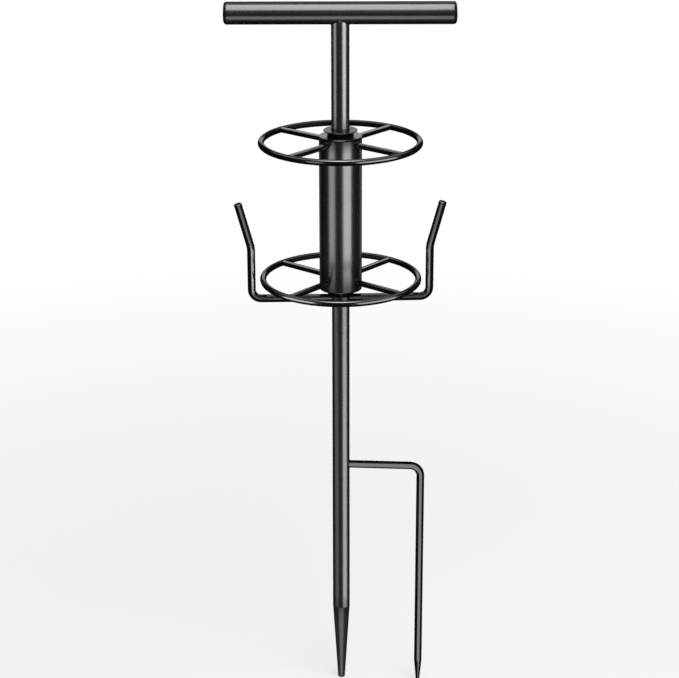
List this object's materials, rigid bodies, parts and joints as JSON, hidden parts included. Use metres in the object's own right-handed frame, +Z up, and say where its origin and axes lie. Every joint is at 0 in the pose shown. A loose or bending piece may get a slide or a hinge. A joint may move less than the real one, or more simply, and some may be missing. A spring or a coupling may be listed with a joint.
{
  "type": "hose guide stake",
  "caption": "T-handled steel ground stake with a free-turning spoked roller between guard arms, for leading a garden hose round a corner.",
  "frame": {"origin": "on the axis of the post at the soil line, which is the top of the side prong's level bar", "axes": "+Z up along the post and the roller's axis; +X along the handle towards the side prong; Y through the gaps that the hose passes, the front view looks along +Y"},
  "size_m": [0.225, 0.163, 0.7408],
  "materials": {
    "powder_coated_steel": "semi-gloss black powder coat",
    "black_nylon": "fine-textured moulded nylon"
  },
  "bodies": {
    "stake": {"handle_tube": "powder_coated_steel", "handle_cap_left": "powder_coated_steel", "handle_cap_right": "powder_coated_steel", "handle_weld": "powder_coated_steel", "post_tube": "powder_coated_steel", "spike_point": "powder_coated_steel", "stop_collar": "powder_coated_steel", "collar_weld": "powder_coated_steel", "thrust_washer": "black_nylon", "guard_arm_left": "powder_coated_steel", "guard_arm_right": "powder_coated_steel", "guard_welds": "powder_coated_steel", "side_prong": "powder_coated_steel", "prong_weld": "powder_coated_steel"},
    "roller": {"roller_tube": "powder_coated_steel", "upper_bush": "black_nylon", "lower_bush": "black_nylon", "upper_ring": "powder_coated_steel", "lower_ring": "powder_coated_steel", "upper_spoke_1": "powder_coated_steel", "upper_spoke_2": "powder_coated_steel", "upper_spoke_3": "powder_coated_steel", "upper_spoke_4": "powder_coated_steel", "lower_spoke_1": "powder_coated_steel", "lower_spoke_2": "powder_coated_steel", "lower_spoke_3": "powder_coated_steel", "lower_spoke_4": "powder_coated_steel", "upper_spoke_welds": "powder_coated_steel", "lower_spoke_welds": "powder_coated_steel"}
  },
  "joints": [
    {"name": "roller_spin", "type": "hinge", "parent": "stake", "child": "roller", "pos_m": [0, 0, 0.27], "axis": [0, 0, 1], "continuous": true}
  ]
}
